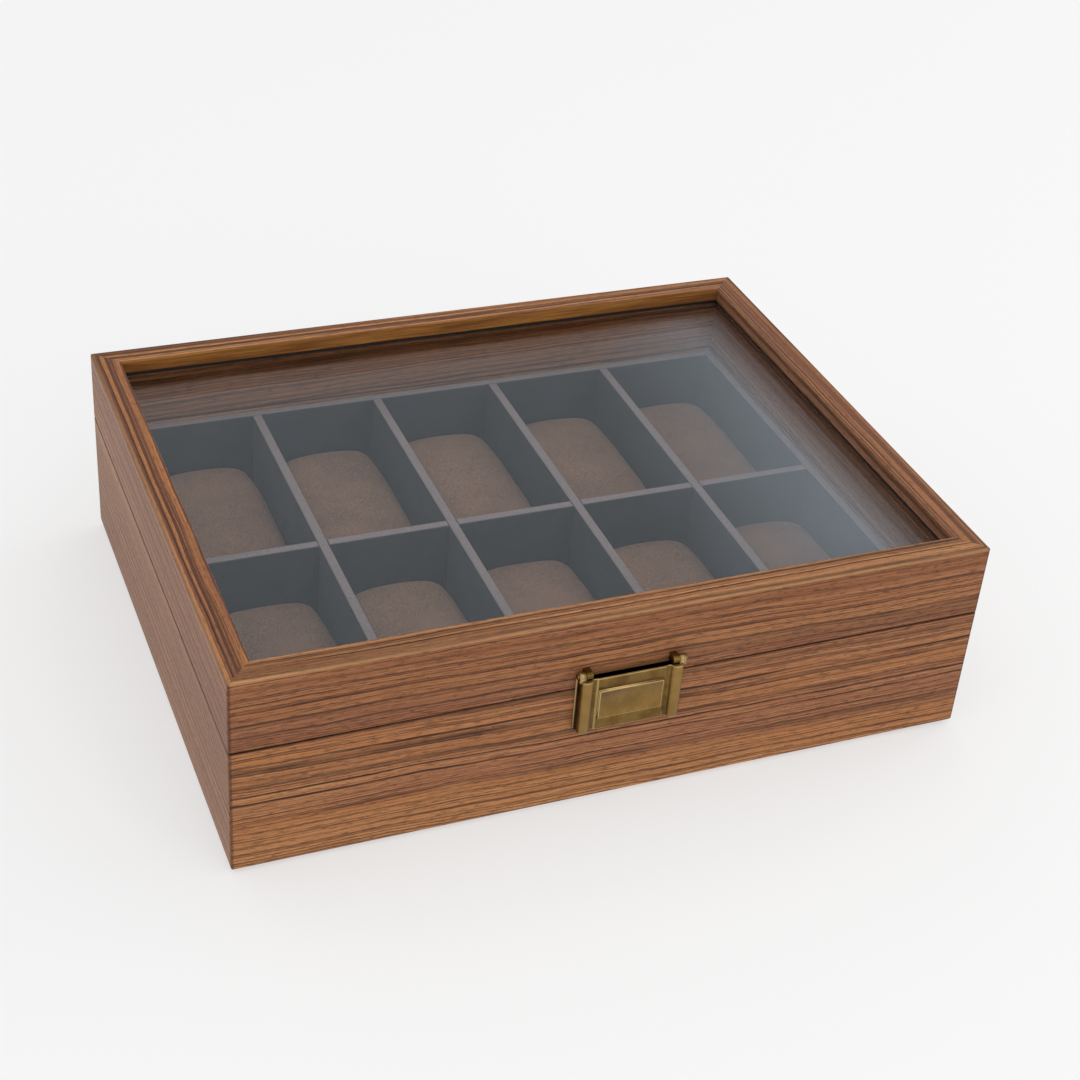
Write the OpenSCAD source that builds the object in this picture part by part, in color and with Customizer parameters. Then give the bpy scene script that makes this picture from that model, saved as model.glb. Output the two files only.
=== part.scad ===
// Watch box: a mitred wooden case with a glazed lid, a lined tray with two rows of five
// cushions, two butt hinges with stops and a front latch.
// Origin: middle of the flat underside. +X is right, +Y is back, +Z is up. The latch faces -Y.

/* [Case] */
// Outside width of the case
case_w = 290; // [240:1:360]
// Outside depth of the case, without hinges and latch
case_d = 226; // [185:1:280]
// Height of the base up to the seam
base_h = 54; // [45:0.5:70]
// Height of the lid above the seam
lid_h = 29.6; // [24.6:0.1:40]
// Gap between the base and the closed lid
seam_gap = 0.4; // [0.3:0.1:1]
// Thickness of the walls and of the lid rails
wall = 10.5; // [8.5:0.1:14]
// Rounding along the lower outer edges
foot_round = 4; // [1:0.5:5]
// Rounding along the upper outer edges of the lid
top_round = 1.5; // [0.5:0.25:3]
// Rounding of the upright corners
corner_round = 1.2; // [0.5:0.1:3]
// Rounding of every other long edge
edge_round = 0.6; // [0.2:0.1:1]

/* [Bottom] */
// Thickness of the bottom panel
panel_t = 5; // [3:0.5:7]
// Thickness of the felt under the bottom panel
felt_t = 1.5; // [1:0.1:3]
// Width of the rabbet that holds the bottom panel
rabbet = 4; // [2:0.5:4.5]
// Gap round the edges of the bottom panel and the felt
panel_gap = 0.2; // [0.1:0.1:1]

/* [Glass] */
// Thickness of the glass
glass_t = 3; // [2:0.1:4]
// Height of the rails above the seal of the glass
lip_h = 6; // [4:0.1:8]
// Height of the seal that lies on the glass
seal_h = 0.9; // [0.5:0.1:2]
// Depth of the groove that holds the glass
groove = 3; // [2:0.5:4]
// Gap between the edge of the glass and the groove
glass_gap = 0.5; // [0.2:0.1:1]

/* [Tray] */
// Thickness of the outer strips of the tray
liner_t = 4; // [2.5:0.1:6]
// Thickness of the dividers
divider_t = 4; // [2.5:0.1:6]
// Thickness of the tray floor
floor_t = 2; // [1:0.5:4]
// Distance from the seam down to the top of the tray
tray_drop = 1; // [0.5:0.1:5]
// Gap between the tray and the wooden walls
liner_gap = 0.2; // [0.1:0.1:1]
// Rounding of the covered top edges of the tray
strip_round = 0.8; // [0.3:0.1:1.2]

/* [Cushions] */
// Height of a cushion
cushion_h = 27; // [20:0.5:32]
// Gap between a cushion and the sides of its place
cushion_gap = 0.6; // [0.4:0.1:3]
// Gap between a cushion and the ends of its place
cushion_end_gap = 2; // [0.4:0.1:6]
// Gap between a cushion and the tray floor
cushion_lift = 0.3; // [0.3:0.1:1]
// Rounding of the upright corners of a cushion
cushion_corner = 9; // [4:0.5:14]
// Rounding of the upper and lower edges of a cushion
cushion_edge = 7; // [3:0.5:9]

/* [Hinges] */
// Width of a hinge
hinge_w = 32; // [26:0.5:40]
// Distance from the side of the case to the middle of a hinge
hinge_inset = 50; // [35:1:70]
// Thickness of the hinge leaves
leaf_t = 1; // [0.8:0.1:1.5]
// Depth of a hinge leaf in the wall
leaf_d = 8; // [6:0.5:8]
// Radius of the hinge knuckles
knuckle_r = 2.4; // [2:0.1:3.2]
// Radius of the hinge pin
pin_r = 1; // [0.8:0.1:1.3]
// Angle at which the tails of the hinges stop the lid
lid_open = 100; // [85:1:110]
// Length of the stop tails from the hinge axis
tail_l = 6; // [4.5:0.1:8]

/* [Latch] */
// Width of the latch flap
latch_w = 41; // [34:0.5:50]
// Length of the flap below the seam
latch_drop = 17; // [15:0.5:22]
// Height of the latch pin above the seam
latch_rise = 7.3; // [6.8:0.1:10]
// Distance from the front wall to the front of the flap
latch_proud = 5.2; // [5:0.1:6.5]
// Thickness of the sheet brass
sheet_t = 0.9; // [0.6:0.1:1.1]
// Radius of the two beads along the sides of the flap
bead_r = 2.4; // [2:0.1:2.8]
// Radius of the latch knuckles
latch_knuckle_r = 1.5; // [1.3:0.1:2.1]
// Radius of the latch pins
latch_pin_r = 0.6; // [0.4:0.1:0.8]
// Width of the raised panel on the flap
boss_w = 24.6; // [18:0.2:28]
// Height of the raised panel on the flap
boss_h = 12; // [8:0.5:14]

/* [Hidden] */
$fn = 64;
columns = 5;
ROW_NAMES = ["back", "front"];
SIDE_NAMES = ["left", "right"];

run_gap = 0.05; // radial clearance of a turning knuckle on its pin
over = 1;       // how far a cutter reaches past the face it cuts

// Heights
lid_z = base_h + seam_gap;
case_h = lid_z + lid_h;
hinge_z = base_h + seam_gap / 2;
panel_z = felt_t;
floor_z = panel_z + panel_t;
tray_z = floor_z + floor_t;
tray_h = base_h - tray_drop - tray_z;
glass_z = case_h - lip_h - seal_h - glass_t;
slot_h = glass_t + seal_h;

// Space inside the walls, and inside the strips of the tray
inner_w = case_w - 2 * wall;
inner_d = case_d - 2 * wall;
tray_w = inner_w - 2 * liner_gap;
tray_d = inner_d - 2 * liner_gap;
place_w = (tray_w - 2 * liner_t - (columns - 1) * divider_t) / columns;
place_d = (tray_d - 2 * liner_t - divider_t) / 2;
pitch_w = place_w + divider_t;
pitch_d = place_d + divider_t;
cushion_w = place_w - 2 * cushion_gap;
cushion_l = place_d - 2 * cushion_end_gap;

// Hinges: the axis runs along X, just behind the back wall
knuckles = 5;
knuckle_l = hinge_w / knuckles;
knuckle_gap = 0.15;
hinge_stand = 0.3;
pin_y = knuckle_r + hinge_stand;
hinge_x = case_w / 2 - hinge_inset;
mortise_gap = 0.15;
tail_t = 0.9;
tail_gap = 0.3;
tail_root = (knuckle_r + pin_r) / 2;
tail_slack = 0.3;
tail_angle = lid_open / 2 + tail_slack;
screw_share_x = 0.3;
screw_share_y = 0.55;
hinge_screw_x = hinge_w * screw_share_x;
hinge_screw_y = pin_y + leaf_d * screw_share_y;

// Screws: shank radius, head radius, head height, length
HINGE_SCREW = [1.1, 1.9, 0.8, 8];
LATCH_SCREW = [0.8, 1.5, 0.6, 6];
slot_w = 0.5;
slot_d = 0.4;

// Latch, measured outwards from the front wall and up from the seam
plate_t = 0.8;
latch_pin_gap = 1.1;
latch_pin_y = latch_knuckle_r + latch_pin_gap;
latch_pin_z = lid_z + latch_rise;
flap_gap = 0.4;
flap_top_gap = 0.3;
flap_top = latch_pin_z - latch_knuckle_r - flap_top_gap;
flap_bottom = base_h - latch_drop;
flap_h = flap_top - flap_bottom;
bead_x = latch_w / 2 - bead_r;
bead_y = latch_proud - bead_r;
web_set_back = 1.4;
web_y = latch_proud - web_set_back;
boss_t = 0.7;
latch_knuckle_l = 2.4;
latch_side_gap = 0.2;
hinge_plate_w = latch_w - 2 * (latch_knuckle_l + latch_side_gap);
hinge_plate_z = lid_z + 1;
hinge_plate_top = flap_top + 0.5;
screw_rise = 2.5;
latch_screw_x = hinge_plate_w / 4;
latch_screw_z = hinge_plate_z + screw_rise;
pin_head_r = 1;
pin_head_l = 0.6;
pin_end_gap = 0.1;
catch_drop = 7;
catch_z = base_h - catch_drop;
catch_w = 18;
catch_h = 11;
catch_screw_x = 6.3;
stud_r = 2.2;
stud_top = 2;
stud_shank_r = 1;
stud_l = 6;
clip_t = 0.5;
clip_gap = 0.12;
clip_h = 7;
clip_y = 1.1;

WOOD = [0.56, 0.37, 0.24];
WOOD_SIDE = [0.62, 0.47, 0.38];
PLY = [0.66, 0.52, 0.36];
FELT = [0.13, 0.12, 0.12];
SUEDE_DARK = [0.29, 0.31, 0.33];
SUEDE_TAUPE = [0.46, 0.41, 0.38];
GLASS = [0.75, 0.8, 0.8, 0.3];
SEAL = [0.06, 0.05, 0.05];
BRASS = [0.55, 0.45, 0.25];

function side_sign(side) = side == "left" ? -1 : 1;
function row_sign(row) = row == "front" ? -1 : 1;

// ---- Shared shapes ----

// A cutter that rounds the corner at the origin of a section lying in +X +Y
module corner_cutter(r) {
    difference() {
        translate([-over, -over]) square(r + over);
        translate([r, r]) circle(r);
    }
}

// A rectangle with round corners, centred on the origin
module rounded_plan(w, d, r) {
    square([w - 2 * r, d], center = true);
    square([w, d - 2 * r], center = true);
    for (x = [-1, 1], y = [-1, 1]) {
        translate([x * (w / 2 - r), y * (d / 2 - r)]) circle(r);
    }
}

// Runs a section along X, with the section's x along +Y and its y along +Z
module run_along_x(length) {
    translate([-length / 2, 0, 0]) rotate([90, 0, 90]) linear_extrude(length) children();
}

// One mitred side of a frame, at the front, from a section whose x runs inwards
module mitred_side(length, depth) {
    mitre = wall + over;
    intersection() {
        translate([0, -depth / 2, 0]) run_along_x(length) children();
        linear_extrude(case_h) intersection() {
            polygon([
                [-length / 2, -depth / 2],
                [length / 2, -depth / 2],
                [length / 2 - mitre, mitre - depth / 2],
                [mitre - length / 2, mitre - depth / 2]
            ]);
            rounded_plan(length, depth, corner_round);
        }
    }
}

// Turns a front side of a frame into its left or right side
module on_side(side) {
    mirror([side == "right" ? 1 : 0, 0, 0]) rotate(-90) children();
}

// A countersunk wood screw with its head's face at the origin and its point along -Z
module wood_screw(screw) {
    difference() {
        union() {
            translate([0, 0, -screw[3]]) cylinder(h = screw[3] - screw[2], r = screw[0]);
            translate([0, 0, -screw[2]]) cylinder(h = screw[2], r1 = screw[0], r2 = screw[1]);
        }
        translate([-screw[1], -slot_w / 2, -slot_d]) cube([2 * screw[1], slot_w, slot_d + over]);
    }
}

// The hole that a wood screw takes up, through a plate and in the wood under it
module screw_hole(screw) {
    translate([0, 0, -screw[3]]) cylinder(h = screw[3] + over, r = screw[0]);
}
module countersink(screw) {
    translate([0, 0, -screw[2]]) cylinder(h = screw[2], r1 = screw[0], r2 = screw[1]);
    translate([0, 0, -screw[3]]) cylinder(h = screw[3], r = screw[0]);
}

// ---- Base ----

module base_section() {
    difference() {
        square([wall, base_h]);
        corner_cutter(foot_round);
        translate([0, base_h]) mirror([0, 1]) corner_cutter(edge_round);
        translate([wall, base_h]) rotate(180) corner_cutter(edge_round);
        translate([wall - rabbet, -over]) square([rabbet + over, floor_z + over]);
    }
}

module base_front() {
    color(WOOD) difference() {
        mitred_side(case_w, case_d) base_section();
        on_front() {
            catch_screw_places() screw_hole(LATCH_SCREW);
            translate([0, plate_t, catch_z]) facing_out() stud_hole();
        }
    }
}

module base_back() {
    color(WOOD) difference() {
        mirror([0, 1, 0]) mitred_side(case_w, case_d) base_section();
        for (side = SIDE_NAMES) at_hinge(side) hinge_mortise();
    }
}

module base_side(side) {
    color(WOOD_SIDE) on_side(side) mitred_side(case_d, case_w) base_section();
}

module bottom_sheet(thickness) {
    w = inner_w + 2 * (rabbet - panel_gap);
    d = inner_d + 2 * (rabbet - panel_gap);
    translate([-w / 2, -d / 2, 0]) cube([w, d, thickness]);
}

module bottom_panel() {
    color(PLY) translate([0, 0, panel_z]) bottom_sheet(panel_t);
}

module bottom_felt() {
    color(FELT) bottom_sheet(felt_t);
}

// ---- Tray ----

module strip_section(thickness) {
    difference() {
        translate([-thickness / 2, 0]) square([thickness, tray_h]);
        for (x = [0, 1]) {
            mirror([x, 0]) translate([-thickness / 2, tray_h]) mirror([0, 1]) corner_cutter(strip_round);
        }
    }
}

module strip(length, thickness) {
    translate([0, 0, tray_z]) run_along_x(length) strip_section(thickness);
}

module tray_floor() {
    color(SUEDE_DARK) translate([-tray_w / 2, -tray_d / 2, floor_z]) cube([tray_w, tray_d, floor_t]);
}

module tray_end(row) {
    y = row_sign(row) * (tray_d - liner_t) / 2;
    color(SUEDE_DARK) translate([0, y, 0]) strip(tray_w, liner_t);
}

module tray_side(side) {
    x = side_sign(side) * (tray_w - liner_t) / 2;
    color(SUEDE_DARK) translate([x, 0, 0]) rotate(90) strip(tray_d - 2 * liner_t, liner_t);
}

function divider_x(i) = (i - columns / 2) * pitch_w;

// The dividers cross in halved joints: the long one is notched from above
module halving(length, z) {
    translate([-divider_t / 2, -length / 2, z]) cube([divider_t, length, tray_h / 2 + over]);
}

module divider_long() {
    color(SUEDE_DARK) difference() {
        strip(tray_w - 2 * liner_t, divider_t);
        for (i = [1 : columns - 1]) {
            translate([divider_x(i), 0, 0]) halving(divider_t + 2 * over, tray_z + tray_h / 2);
        }
    }
}

module divider_cross(i) {
    color(SUEDE_DARK) translate([divider_x(i), 0, 0]) difference() {
        rotate(90) strip(tray_d - 2 * liner_t, divider_t);
        rotate(90) halving(divider_t + 2 * over, tray_z - over);
    }
}

// ---- Cushions ----

function place_x(i) = (i - (columns + 1) / 2) * pitch_w;
function place_y(row) = row_sign(row) * pitch_d / 2;

// A plain pillow: a block whose twelve edges are rounded
module cushion(row, i) {
    z = tray_z + cushion_lift + cushion_h / 2;
    color(SUEDE_TAUPE) translate([place_x(i), place_y(row), z]) intersection() {
        linear_extrude(cushion_h, center = true) rounded_plan(cushion_w, cushion_l, cushion_corner);
        run_along_x(cushion_w) rounded_plan(cushion_l, cushion_h, cushion_edge);
        rotate(90) run_along_x(cushion_l) rounded_plan(cushion_w, cushion_h, cushion_edge);
    }
}

// ---- Lid ----

module lid_section() {
    difference() {
        square([wall, lid_h]);
        corner_cutter(edge_round);
        translate([0, lid_h]) mirror([0, 1]) corner_cutter(top_round);
        translate([wall, lid_h]) rotate(180) corner_cutter(edge_round);
        translate([wall, 0]) mirror([1, 0]) corner_cutter(edge_round);
        translate([wall - groove, glass_z - lid_z]) square([groove + over, slot_h]);
    }
}

module lid_front() {
    color(WOOD) difference() {
        translate([0, 0, lid_z]) mitred_side(case_w, case_d) lid_section();
        on_front() latch_screw_places() screw_hole(LATCH_SCREW);
    }
}

module lid_back() {
    color(WOOD) difference() {
        translate([0, 0, lid_z]) mirror([0, 1, 0]) mitred_side(case_w, case_d) lid_section();
        for (side = SIDE_NAMES) at_hinge(side) mirror([0, 0, 1]) hinge_mortise();
    }
}

module lid_side(side) {
    color(WOOD_SIDE) translate([0, 0, lid_z]) on_side(side) mitred_side(case_d, case_w) lid_section();
}

module glass_pane() {
    w = inner_w + 2 * (groove - glass_gap);
    d = inner_d + 2 * (groove - glass_gap);
    color(GLASS) translate([-w / 2, -d / 2, glass_z]) cube([w, d, glass_t]);
}

module glass_seal() {
    color(SEAL) translate([0, 0, glass_z + glass_t]) linear_extrude(seal_h) difference() {
        square([inner_w + 2 * groove, inner_d + 2 * groove], center = true);
        square([inner_w, inner_d], center = true);
    }
}

// ---- Hinges ----

// Puts children() on the axis of a hinge
module at_hinge(side) {
    translate([side_sign(side) * hinge_x, case_d / 2 + pin_y, hinge_z]) children();
}

// The recess and the pilot holes for the lower leaf
module hinge_mortise() {
    w = hinge_w + 2 * mortise_gap;
    translate([-w / 2, -pin_y - leaf_d - mortise_gap, -seam_gap / 2 - leaf_t]) {
        cube([w, leaf_d + mortise_gap + over, leaf_t + over]);
    }
    hinge_screw_places() screw_hole(HINGE_SCREW);
}

module hinge_screw_places() {
    for (x = [-1, 1]) translate([x * hinge_screw_x, -hinge_screw_y, -seam_gap / 2]) children();
}

// The knuckles of one leaf, from the given one on, every second one
module at_knuckles(first) {
    for (i = [first : 2 : knuckles - 1]) {
        translate([(i + 0.5) * knuckle_l - hinge_w / 2, 0, 0]) children();
    }
}

// The lower leaf, which lies under the axis. The upper one is its mirror image
module hinge_leaf(first, bore_r) {
    knuckle = knuckle_l - 2 * knuckle_gap;
    leaf_z = -seam_gap / 2 - leaf_t;
    difference() {
        union() {
            translate([-hinge_w / 2, -pin_y - leaf_d, leaf_z]) cube([hinge_w, leaf_d, leaf_t]);
            at_knuckles(first) {
                translate([-knuckle / 2, -pin_y - over, leaf_z]) cube([knuckle, pin_y + over, leaf_t]);
                translate([-knuckle / 2, 0, 0]) rotate([0, 90, 0]) cylinder(h = knuckle, r = knuckle_r);
                rotate([-tail_angle, 0, 0]) translate([-knuckle / 2 + knuckle_gap, tail_root, -tail_t]) {
                    cube([knuckle - 2 * knuckle_gap, tail_l - tail_root, tail_t]);
                }
            }
            rotate([-tail_angle, 0, 0]) translate([-hinge_w / 2, knuckle_r + tail_gap, -tail_t]) {
                cube([hinge_w, tail_l - knuckle_r - tail_gap, tail_t]);
            }
        }
        rotate([0, 90, 0]) cylinder(h = hinge_w + 2 * over, r = bore_r, center = true);
        hinge_screw_places() countersink(HINGE_SCREW);
    }
}

module hinge_leaf_base(side) {
    color(BRASS) at_hinge(side) hinge_leaf(0, pin_r);
}

module hinge_leaf_lid(side) {
    color(BRASS) at_hinge(side) mirror([0, 0, 1]) hinge_leaf(1, pin_r + run_gap);
}

module hinge_pin(side) {
    color(BRASS) at_hinge(side) rotate([0, 90, 0]) cylinder(h = hinge_w, r = pin_r, center = true);
}

module hinge_screws_base() {
    color(BRASS) for (side = SIDE_NAMES) at_hinge(side) hinge_screw_places() wood_screw(HINGE_SCREW);
}

module hinge_screws_lid() {
    color(BRASS) for (side = SIDE_NAMES) at_hinge(side) {
        mirror([0, 0, 1]) hinge_screw_places() wood_screw(HINGE_SCREW);
    }
}

// ---- Latch ----

// A frame on the front wall, with +Y pointing outwards
module on_front() {
    translate([0, -case_d / 2, 0]) mirror([0, 1, 0]) children();
}

// Turns children() drawn along Z so that their top faces outwards
module facing_out() {
    rotate([-90, 0, 0]) children();
}

module latch_screw_places() {
    for (x = [-1, 1]) translate([x * latch_screw_x, plate_t, latch_screw_z]) facing_out() children();
}

module catch_screw_places() {
    for (x = [-1, 1]) translate([x * catch_screw_x, plate_t, catch_z]) facing_out() children();
}

// A barrel along X on the latch's axis, between two places in x
module latch_barrel(x_from, x_to, r) {
    translate([x_from, latch_pin_y, latch_pin_z]) rotate([0, 90, 0]) cylinder(h = x_to - x_from, r = r);
}

// The plate on the lid, rolled over into a knuckle at each end
module latch_hinge_plate() {
    half = hinge_plate_w / 2;
    top = latch_pin_z + latch_knuckle_r;
    color(BRASS) on_front() difference() {
        union() {
            translate([-half, 0, hinge_plate_z]) {
                cube([2 * half, plate_t, hinge_plate_top - hinge_plate_z]);
            }
            for (side = [0, 1]) mirror([side, 0, 0]) {
                x = half - latch_knuckle_l;
                translate([x, 0, hinge_plate_z]) cube([latch_knuckle_l, plate_t, top - hinge_plate_z]);
                translate([x, 0, top - plate_t]) cube([latch_knuckle_l, latch_pin_y, plate_t]);
                latch_barrel(x, half, latch_knuckle_r);
            }
        }
        latch_barrel(-half - over, half + over, latch_pin_r);
        latch_screw_places() countersink(LATCH_SCREW);
    }
}

module latch_pins() {
    inner = hinge_plate_w / 2 - latch_knuckle_l;
    outer = latch_w / 2 + pin_end_gap;
    color(BRASS) on_front() for (side = [0, 1]) mirror([side, 0, 0]) {
        latch_barrel(inner, outer, latch_pin_r);
        latch_barrel(outer, outer + pin_head_l, pin_head_r);
    }
}

module latch_screws() {
    color(BRASS) on_front() latch_screw_places() wood_screw(LATCH_SCREW);
}

// The pressed sheet of the flap, seen from above: two beads with a web between them
module flap_section() {
    hollow_w = latch_w - 2 * sheet_t;
    difference() {
        union() {
            for (x = [-1, 1]) translate([x * bead_x, bead_y]) circle(bead_r);
            translate([-latch_w / 2, flap_gap]) square([latch_w, bead_y - flap_gap]);
            translate([-bead_x, flap_gap]) square([2 * bead_x, web_y - flap_gap]);
        }
        for (x = [-1, 1]) translate([x * bead_x, bead_y]) circle(bead_r - sheet_t);
        translate([-hollow_w / 2, flap_gap - over]) square([hollow_w, web_y - sheet_t - flap_gap + over]);
    }
}

module latch_flap() {
    color(BRASS) on_front() difference() {
        union() {
            translate([0, 0, flap_bottom]) linear_extrude(flap_h) flap_section();
            translate([-boss_w / 2, web_y - sheet_t / 2, flap_bottom + (flap_h - boss_h) / 2]) {
                cube([boss_w, sheet_t / 2 + boss_t, boss_h]);
            }
            for (side = [0, 1]) mirror([side, 0, 0]) {
                x = latch_w / 2 - latch_knuckle_l;
                translate([x, latch_pin_y - latch_knuckle_r, flap_top - over]) {
                    cube([latch_knuckle_l, 2 * latch_knuckle_r, latch_pin_z - flap_top + over]);
                }
                latch_barrel(x, latch_w / 2, latch_knuckle_r);
            }
        }
        latch_barrel(-latch_w, latch_w, latch_pin_r + run_gap);
    }
}

// The spring clip behind the flap, which grips the stud and is open above and below
module latch_clip() {
    half = stud_r + clip_gap + clip_t;
    back = web_y - sheet_t;
    grip = half - clip_t;
    color(BRASS) on_front() translate([0, 0, catch_z - clip_h / 2]) linear_extrude(clip_h) difference() {
        translate([-half, clip_y]) square([2 * half, back - clip_y]);
        translate([-grip, clip_y - over]) square([2 * grip, back - clip_t - clip_y + over]);
    }
}

module catch_plate() {
    color(BRASS) on_front() difference() {
        translate([-catch_w / 2, 0, catch_z - catch_h / 2]) cube([catch_w, plate_t, catch_h]);
        catch_screw_places() countersink(LATCH_SCREW);
        translate([0, plate_t, catch_z]) facing_out() stud_hole();
    }
}

module stud_hole() {
    translate([0, 0, -stud_l]) cylinder(h = stud_l + over, r = stud_shank_r);
}

module catch_stud() {
    color(BRASS) on_front() translate([0, plate_t, catch_z]) facing_out() {
        cylinder(h = stud_top - plate_t, r = stud_r);
        translate([0, 0, -stud_l]) cylinder(h = stud_l, r = stud_shank_r);
    }
}

module catch_screws() {
    color(BRASS) on_front() catch_screw_places() wood_screw(LATCH_SCREW);
}

// ---- Assembly ----

base_front();
base_back();
bottom_panel();
bottom_felt();
tray_floor();
divider_long();
lid_front();
lid_back();
glass_pane();
glass_seal();
hinge_screws_base();
hinge_screws_lid();
latch_hinge_plate();
latch_pins();
latch_screws();
latch_flap();
latch_clip();
catch_plate();
catch_stud();
catch_screws();
for (row = ROW_NAMES) {
    tray_end(row);
    for (i = [1 : columns]) {
        cushion(row, i);
    }
}
for (i = [1 : columns - 1]) {
    divider_cross(i);
}
for (side = SIDE_NAMES) {
    base_side(side);
    lid_side(side);
    tray_side(side);
    hinge_leaf_base(side);
    hinge_leaf_lid(side);
    hinge_pin(side);
}
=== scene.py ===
import math
import bmesh
import bpy
from mathutils import Matrix, Vector, noise


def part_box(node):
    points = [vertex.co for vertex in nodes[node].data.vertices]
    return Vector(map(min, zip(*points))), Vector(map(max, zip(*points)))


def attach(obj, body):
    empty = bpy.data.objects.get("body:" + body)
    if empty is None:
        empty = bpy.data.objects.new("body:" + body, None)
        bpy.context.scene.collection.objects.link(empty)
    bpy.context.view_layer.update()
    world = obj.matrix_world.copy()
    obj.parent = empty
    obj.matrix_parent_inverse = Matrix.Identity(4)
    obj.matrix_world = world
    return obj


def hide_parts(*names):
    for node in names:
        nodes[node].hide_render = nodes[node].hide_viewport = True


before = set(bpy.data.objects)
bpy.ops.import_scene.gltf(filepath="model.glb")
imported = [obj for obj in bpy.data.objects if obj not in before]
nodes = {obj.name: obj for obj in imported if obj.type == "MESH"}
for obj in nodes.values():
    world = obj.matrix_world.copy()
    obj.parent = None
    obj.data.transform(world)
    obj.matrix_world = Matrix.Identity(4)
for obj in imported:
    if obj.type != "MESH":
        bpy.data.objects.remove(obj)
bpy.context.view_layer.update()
mm = 0.001
print("frame loaded:", len(nodes), "nodes")

caseHigh = Vector(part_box("lid_back")[1])
lidFrontLow, lidFrontHigh = (Vector(v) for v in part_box("lid_front"))
sealLow, sealHigh = (Vector(v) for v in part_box("glass_seal"))
railWidth = lidFrontHigh.y - lidFrontLow.y
seamHeight = Vector(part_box("base_front")[1]).z


# shader building

class Wire:  # a socket that takes part in Python expressions
    def __init__(self, shader, socket):
        self.shader = shader
        self.socket = socket

    def calc(self, operation, *values):
        settings = {"operation": operation}
        return self.shader.node("ShaderNodeMath", settings, dict(enumerate(values)))

    def __add__(self, other):
        return self.calc("ADD", self, other)

    def __radd__(self, other):
        return self.calc("ADD", other, self)

    def __sub__(self, other):
        return self.calc("SUBTRACT", self, other)

    def __rsub__(self, other):
        return self.calc("SUBTRACT", other, self)

    def __mul__(self, other):
        return self.calc("MULTIPLY", self, other)

    def __pow__(self, other):
        return self.calc("POWER", self, other)

    def __abs__(self):
        return self.calc("ABSOLUTE", self)

    def step(self, low, high):  # 0 below low, 1 above high, smooth between them
        settings = {"interpolation_type": "SMOOTHSTEP"}
        sockets = {"Value": self, "From Min": low, "From Max": high}
        return self.shader.node("ShaderNodeMapRange", settings, sockets)

    def past(self, limit, reach):  # rises between the two distances of reach from the limit
        return self.step(limit + reach[0], limit + reach[1])


class Shader:  # a material, and the one way its nodes are made
    def __init__(self, name):
        self.material = bpy.data.materials.new(name)
        self.material.use_nodes = True
        self.tree = self.material.node_tree
        self.tree.nodes.clear()

    def node(self, kind, settings=None, sockets=None, output=0):
        made = self.tree.nodes.new(kind)
        for key, value in (settings or {}).items():
            if key == "stops":
                elements = made.color_ramp.elements
                while len(elements) < len(value):
                    elements.new(0.5)
                for element, (place, colour) in zip(elements, value):
                    element.position = place
                    element.color = colour
            else:
                setattr(made, key, value)
        for key, value in (sockets or {}).items():
            if isinstance(value, Wire):
                self.tree.links.new(value.socket, made.inputs[key])
            else:
                made.inputs[key].default_value = value
        return Wire(self, made.outputs[output]) if len(made.outputs) else None

    def place(self):
        return self.node("ShaderNodeTexCoord", output="Object")

    def split(self, vector):
        return [self.node("ShaderNodeSeparateXYZ", None, {0: vector}, axis) for axis in "XYZ"]

    def join(self, x, y, z):
        return self.node("ShaderNodeCombineXYZ", None, {"X": x, "Y": y, "Z": z})

    def noise(self, vector, scale=1.0, detail=2.0, rough=0.5):
        sockets = {"Vector": vector, "Scale": scale, "Detail": detail, "Roughness": rough}
        return self.node("ShaderNodeTexNoise", None, sockets)

    def chance(self, value):  # a fixed random share for each whole number
        return self.node("ShaderNodeTexWhiteNoise", {"noise_dimensions": "1D"}, {"W": value})

    def ramp(self, value, stops):
        return self.node("ShaderNodeValToRGB", {"stops": stops}, {"Fac": value})

    def mix(self, share, first, second, way="MIX"):
        settings = {"data_type": "RGBA", "blend_type": way}
        return self.node("ShaderNodeMix", settings, {0: share, 6: first, 7: second}, 2)

    def bump(self, height, distance, strength=1.0):
        sockets = {"Height": height, "Distance": distance, "Strength": strength}
        return self.node("ShaderNodeBump", None, sockets)

    def facing(self):  # how far a face looks up while its piece is at rest
        return self.split(self.node("ShaderNodeTexCoord", output="Normal"))[2]

    def surface(self, sockets):
        return self.finish(self.node("ShaderNodeBsdfPrincipled", None, sockets))

    def finish(self, shown):
        self.node("ShaderNodeOutputMaterial", None, {"Surface": shown})
        return self.material


def tint(code):  # an sRGB hex code as linear RGBA
    parts = [int(code[i:i + 2], 16) / 255 for i in (0, 2, 4)]
    linear = [c / 12.92 if c <= 0.04045 else ((c + 0.055) / 1.055) ** 2.4 for c in parts]
    return (*linear, 1.0)


def grey(level):
    return (level, level, level, 1)


def paint(names, material):
    for name in names:
        mesh = nodes[name].data
        mesh.materials.clear()
        mesh.materials.append(material)


def addPiece(name, bm, material, body, stands=(), smooth=True):
    mesh = bpy.data.meshes.new(name)
    bm.to_mesh(mesh)
    bm.free()
    for face in mesh.polygons:
        face.use_smooth = smooth
    mesh.materials.append(material)
    piece = bpy.data.objects.new(name, mesh)
    bpy.context.scene.collection.objects.link(piece)
    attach(piece, body)
    if stands:
        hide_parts(*stands)
    return piece


def roundEdges(bm, edges, radius, segments, kind="EDGES"):
    bmesh.ops.bevel(bm, geom=edges, offset=radius, segments=segments, profile=0.5,
                    affect=kind, material=-1)


# wood

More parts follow.
